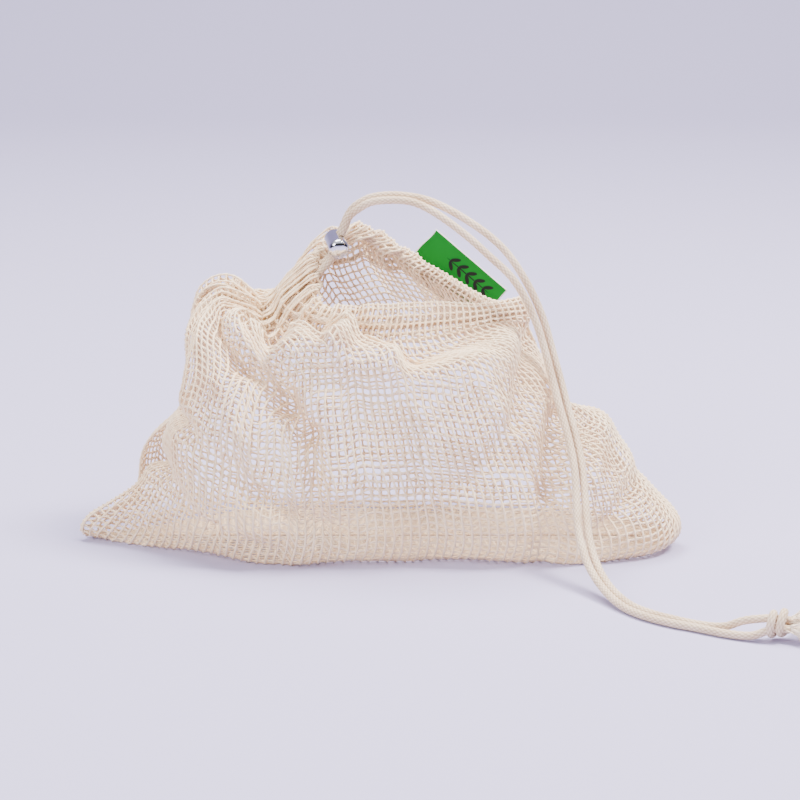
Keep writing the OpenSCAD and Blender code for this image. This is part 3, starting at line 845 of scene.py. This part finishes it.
class LAUNDRYBAG_OT_seams(bpy.types.Operator):
    """Sew the side seams, the floor seam and the hem's line of stitches"""

    bl_idname = "laundrybag.seams"
    bl_label = "Sew seams"

    def execute(self, context):
        v = np.linspace(0.3, HEM_LOW, 60)
        for name, f in (("side_seam_left", 0.0), ("side_seam_right", 1.0)):
            line = net_points(np.full(60, f), v, True)
            seam = overlock(name + "_overlock", settle(line, 2.1), net_finish())
            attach(seam, "bag")
            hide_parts(name)
        u = np.linspace(0.02, HALF_ROUND - 0.02, 60)
        floor = surface(u, np.zeros(60)) * [1, 0, 1]
        seam = overlock("bottom_seam_overlock", settle(floor, 2.1), net_finish())
        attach(seam, "bag")
        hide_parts("bottom_seam")
        low = HEM_LOW + 0.1
        made = []
        for front in (True, False):
            f = np.linspace(0.06, 0.99, 160)
            high = np.full(160, low)
            u = net_round(f, high, front)
            out = outward(u, high)
            line = net_points(f, high, front) + out * 1.9
            made.append(stitches("hem_stitch_" + ("front" if front else "back"), line, out, 2.3, 0.55,
                                 34, thread_finish()))
        line = joined("hem_stitch_line", made)
        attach(line, "bag")
        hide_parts("hem_stitching")
        return {"FINISHED"}


# ---- Label ----------------------------------------------------------------------------------------
LABEL_SIZE = (39.0, 21.0)
LABEL_AT = np.array([24, 37.5, 91])
LABEL_TURN = np.radians([0, 41, 4])


def label_frame():
    (_, cy, cz), (_, sy, sz) = np.cos(LABEL_TURN), np.sin(LABEL_TURN)
    about_y = np.array([[cy, 0, sy], [0, 1, 0], [-sy, 0, cy]])
    about_z = np.array([[cz, -sz, 0], [sz, cz, 0], [0, 0, 1]])
    return about_z @ about_y


class LAUNDRYBAG_OT_label(bpy.types.Operator):
    """Weave the label and sew it on"""

    bl_idname = "laundrybag.label"
    bl_label = "Make label"

    def execute(self, context):
        piece = woven_label()
        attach(piece, "label")
        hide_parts("label")
        across = np.linspace(-LABEL_SIZE[0] / 2 + 1, LABEL_SIZE[0] / 2 - 1, 40)
        low = np.stack([across, np.full(40, 0.5), np.full(40, -0.5)], 1) @ label_frame().T + LABEL_AT
        side = np.broadcast_to(label_frame() @ [0, 1, 0], low.shape)
        row = stitches("label_stitch_row", low, side, 2.2, 0.5, 12, thread_finish())
        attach(row, "bag")
        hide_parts("label_stitching")
        return {"FINISHED"}


def woven_label():
    """A thin curved strip: its face bends as a slow sine across and curls at its free corners, and a
    back face 0.5 mm behind it is joined to it all round."""
    n, m = 61, 33
    s, t = np.meshgrid(np.linspace(0, 1, n), np.linspace(0, 1, m), indexing="ij")
    x = (s - 0.5) * LABEL_SIZE[0] + 0.35 * np.sin(9 * t) * (1 - s) ** 3
    z = t * LABEL_SIZE[1]
    y = 0.7 * np.sin(2.6 * s + 1.0) * t - 0.9 * t**2 * (s - 0.5) + 0.25 * np.sin(14 * s) * t
    face = np.stack([x, y - 0.25, z], -1)
    back = np.stack([x, y + 0.25, z], -1)
    grid = np.arange(n * m).reshape(n, m)
    quads = np.stack([grid[:-1, :-1], grid[1:, :-1], grid[1:, 1:], grid[:-1, 1:]], -1).reshape(-1, 4)
    ring = np.concatenate([grid[:, 0], grid[-1, 1:], grid[-2::-1, -1], grid[0, -2:0:-1]])
    after = np.roll(ring, -1)
    edge = np.stack([ring, ring + n * m, after + n * m, after], -1)
    faces = [np.concatenate([quads, quads[:, ::-1] + n * m, edge])]
    points = np.concatenate([face.reshape(-1, 3), back.reshape(-1, 3)]) @ label_frame().T + LABEL_AT
    place = np.tile(np.stack([s.ravel(), t.ravel()], 1), (2, 1))
    uv = place[faces[0].ravel()]
    finish = label_finish(colours(), LABEL_SIZE)
    return new_piece("woven_label", points * MM, faces, finish, uv)


# ---- Cord lock --------------------------------------------------------------------------------------
PRESS_AXIS = (0.15815, -0.9742, -0.161)  # the way that the plunger goes in


def spring_coil(finish):
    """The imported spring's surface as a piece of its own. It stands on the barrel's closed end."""
    shape = bmesh.new()
    shape.from_mesh(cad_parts["lock_spring"].data)
    bmesh.ops.remove_doubles(shape, verts=shape.verts, dist=1e-6)
    points = np.array([corner.co for corner in shape.verts])
    faces = np.array([[corner.index for corner in face.verts] for face in shape.faces])
    shape.free()
    return new_piece("spring_coil", points, [faces], finish)


class LAUNDRYBAG_OT_lock(bpy.types.Operator):
    """Plate the barrel and the plunger, and finish the spring"""

    bl_idname = "laundrybag.lock"
    bl_label = "Finish cord lock"

    def execute(self, context):
        plate = chrome_finish("chrome plate", colours().chrome, 0.08)
        wire = chrome_finish("spring wire", (0.55, 0.56, 0.58), 0.3)
        for node in ("lock_barrel", "lock_plunger"):
            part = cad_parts[node]
            part.data.materials.clear()
            part.data.materials.append(plate)
        coil = spring_coil(wire)
        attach(coil, "lock")
        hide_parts("lock_spring")
        place = np.array([corner.co for corner in coil.data.vertices]) @ PRESS_AXIS
        far = coil.data.vertices[int(place.argmax())].co
        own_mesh(coil)
        return {"FINISHED"}


# ---- Stage ------------------------------------------------------------------------------------------
def backdrop(reach=6.0, rise=1.5, bend=0.6, behind=1.2):
    """Paper sweep: flat on the floor, then a quarter circle of radius bend, then upright."""
    a = np.linspace(0, np.pi / 2, 24)
    y = np.concatenate([[-reach], [behind - 0.4], behind + bend * np.sin(a), [behind + bend]])
    z = np.concatenate([[0, 0], bend * (1 - np.cos(a)), [bend + rise]])
    x = np.linspace(-reach, reach, 3)
    points = np.stack(np.broadcast_arrays(x[:, None], y[None], z[None]), -1)
    n, m = points.shape[:2]
    grid = np.arange(n * m).reshape(n, m)
    quads = np.stack([grid[:-1, :-1], grid[1:, :-1], grid[1:, 1:], grid[:-1, 1:]], -1).reshape(-1, 4)
    paper = Finish("paper sweep", 0.9, **{"Base Color": (0.468, 0.433, 0.635, 1), "Specular IOR Level": 0.1})
    mesh = bpy.data.meshes.new("paper_sweep")
    mesh.from_pydata(points.reshape(-1, 3).tolist(), [], quads.tolist())
    mesh.polygons.foreach_set("use_smooth", np.full(len(quads), True))
    mesh.materials.append(paper.material)
    sweep = bpy.data.objects.new("paper_sweep", mesh)
    bpy.context.scene.collection.objects.link(sweep)


def softbox(name, at, target, size, watts, colour):
    """A square area light that faces a target."""
    light = bpy.data.lights.new(name, "AREA")
    light.size = size
    light.energy = watts
    light.color = colour
    made = bpy.data.objects.new(name, light)
    made.location = at
    way = np.asarray(target, float) - np.asarray(at, float)
    made.rotation_euler = Vector(way).to_track_quat("-Z", "Y").to_euler()
    bpy.context.scene.collection.objects.link(made)


def studio():
    """A dim room, brighter towards the ceiling, so that polished plate has dark and light to show. Past the
    paper's edge the camera sees one flat tone, not the dark of the room."""
    world = bpy.data.worlds.new("studio")
    world.use_nodes = True
    tree = world.node_tree
    apart = tree.nodes.new("ShaderNodeSeparateXYZ")
    tree.links.new(tree.nodes.new("ShaderNodeTexCoord").outputs["Generated"], apart.inputs[0])
    ramp = tree.nodes.new("ShaderNodeMapRange")
    ramp.inputs["From Min"].default_value = 0.35
    ramp.inputs["From Max"].default_value = 0.8
    ramp.inputs["To Min"].default_value = 0.04
    ramp.inputs["To Max"].default_value = 1.4
    tree.links.new(apart.outputs[2], ramp.inputs["Value"])
    tree.nodes["Background"].inputs[0].default_value = (0.90, 0.90, 1.0, 1)
    seen = tree.nodes.new("ShaderNodeMix")
    seen.inputs["B"].default_value = 0.8
    tree.links.new(tree.nodes.new("ShaderNodeLightPath").outputs["Is Camera Ray"], seen.inputs["Factor"])
    tree.links.new(ramp.outputs[0], seen.inputs["A"])
    tree.links.new(seen.outputs["Result"], tree.nodes["Background"].inputs[1])
    return world


class LAUNDRYBAG_OT_stage(bpy.types.Operator):
    """Set the paper sweep, the soft lights and the camera"""

    bl_idname = "laundrybag.stage"
    bl_label = "Set stage"

    def execute(self, context):
        backdrop()
        middle = (0.0, 0.0, 0.05)
        softbox("key", (0.8, -0.1, 1.3), middle, 0.5, 60, (1.0, 0.97, 0.94))
        softbox("fill", (-0.9, -1.1, 0.8), middle, 0.9, 27, (1.0, 0.99, 0.99))
        softbox("top", (-0.15, 0.5, 1.4), middle, 0.8, 36, (1.0, 0.99, 0.99))
        context.scene.world = studio()
        camera = bpy.data.cameras.new("camera")
        camera.lens = 146.25
        camera.sensor_width = 36
        camera.clip_end = 20
        made = bpy.data.objects.new("camera", camera)
        tilt = np.radians(13)
        away = 1.3
        made.location = (0.0084, -away * np.cos(tilt), 0.0568 + away * np.sin(tilt))
        made.rotation_euler = (np.pi / 2 - tilt, 0, 0)
        context.scene.collection.objects.link(made)
        context.scene.camera = made
        return {"FINISHED"}


class LAUNDRYBAG_PT_panel(bpy.types.Panel):
    """Lists the bag's sizes, colours and steps"""

    bl_label = "Laundry Bag"
    bl_idname = "LAUNDRYBAG_PT_panel"
    bl_space_type = "VIEW_3D"
    bl_region_type = "UI"
    bl_category = "Laundry Bag"

    def draw(self, context):
        for group in (context.scene.bag_sizes, context.scene.bag_colours):
            for name in group.__annotations__:
                self.layout.prop(group, name)
        for step in STEPS:
            self.layout.operator(step.bl_idname)


STEPS = (LAUNDRYBAG_OT_stage, LAUNDRYBAG_OT_cords, LAUNDRYBAG_OT_net, LAUNDRYBAG_OT_seams,
         LAUNDRYBAG_OT_label, LAUNDRYBAG_OT_lock)
CLASSES = (BagSizes, BagColours, *STEPS, LAUNDRYBAG_PT_panel)


def register():
    for item in CLASSES:
        bpy.utils.register_class(item)
    bpy.types.Scene.bag_sizes = bpy.props.PointerProperty(type=BagSizes)
    bpy.types.Scene.bag_colours = bpy.props.PointerProperty(type=BagColours)


def unregister():
    del bpy.types.Scene.bag_sizes
    del bpy.types.Scene.bag_colours
    for item in reversed(CLASSES):
        bpy.utils.unregister_class(item)


def main():
    register()
    for step in STEPS:
        group, name = step.bl_idname.split(".")
        getattr(getattr(bpy.ops, group), name)()


if __name__ == "__main__":
    main()
